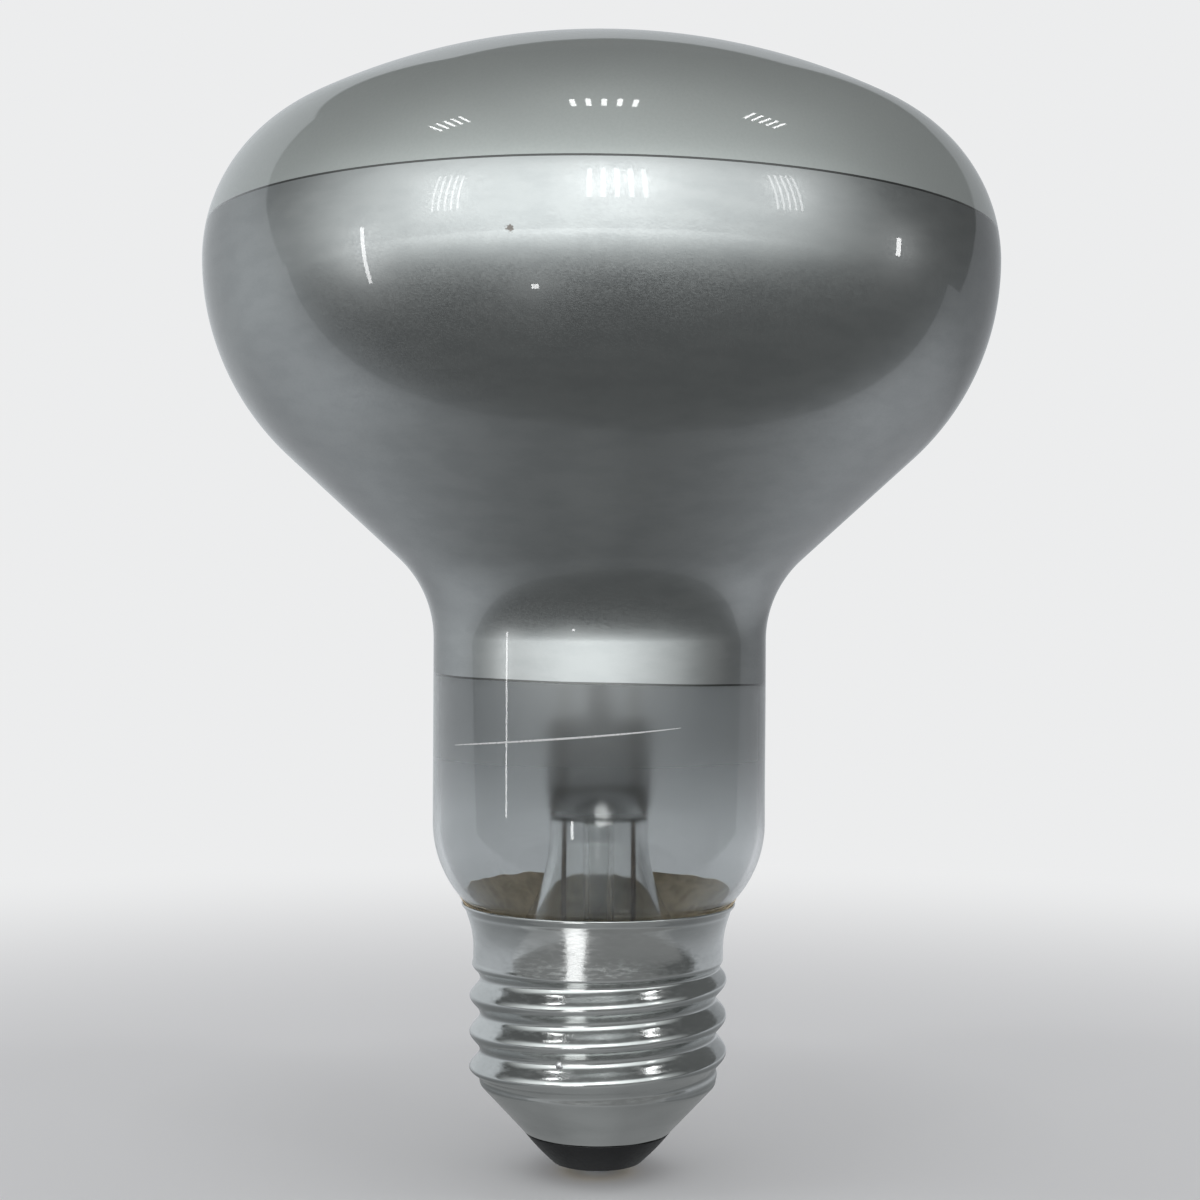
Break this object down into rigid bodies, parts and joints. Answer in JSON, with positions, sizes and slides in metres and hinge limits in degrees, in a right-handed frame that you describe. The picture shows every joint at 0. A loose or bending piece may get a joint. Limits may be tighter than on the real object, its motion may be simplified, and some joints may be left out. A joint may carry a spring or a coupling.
{
  "type": "reflector bulb",
  "caption": "Mushroom-shaped reflector lamp bulb with a mirrored glass bowl, satin domed face, clear neck and a screw cap with a centre contact.",
  "frame": {"origin": "tip of the solder on the centre contact, on the bulb's axis: the point that meets the lamp holder's contact", "axes": "+Z along the bulb's axis from the cap to the domed face; +X to the right and +Y away as in the picture"},
  "size_m": [0.08, 0.08, 0.114],
  "materials": {
    "bulb_glass": "clear gloss, satin inside the face",
    "mirror_film": "vapour-coated aluminium, satin",
    "stem_glass": "clear gloss",
    "cap_metal": "bright rolled sheet",
    "insulator_glass": "black gloss",
    "contact_brass": "stamped, slightly dull",
    "solder": "tin solder",
    "cement": "brown, matt",
    "lead_wire": "drawn copper-clad wire",
    "nickel_wire": "drawn nickel wire",
    "tungsten": "drawn tungsten and molybdenum wire"
  },
  "bodies": {
    "root": {"glass_bulb": "bulb_glass", "reflector_film": "mirror_film", "glass_stem": "stem_glass", "exhaust_tube": "stem_glass", "support_rod": "stem_glass", "screw_shell": "cap_metal", "cap_insulator": "insulator_glass", "centre_contact": "contact_brass", "contact_solder": "solder", "basing_cement": "cement", "outer_lead_side": "lead_wire", "outer_lead_centre": "lead_wire", "seal_wire_left": "lead_wire", "seal_wire_right": "lead_wire", "inner_lead_left": "nickel_wire", "inner_lead_right": "nickel_wire", "filament": "tungsten", "support_wire_left": "tungsten", "support_wire_front": "tungsten", "support_wire_right": "tungsten"}
  },
  "joints": []
}
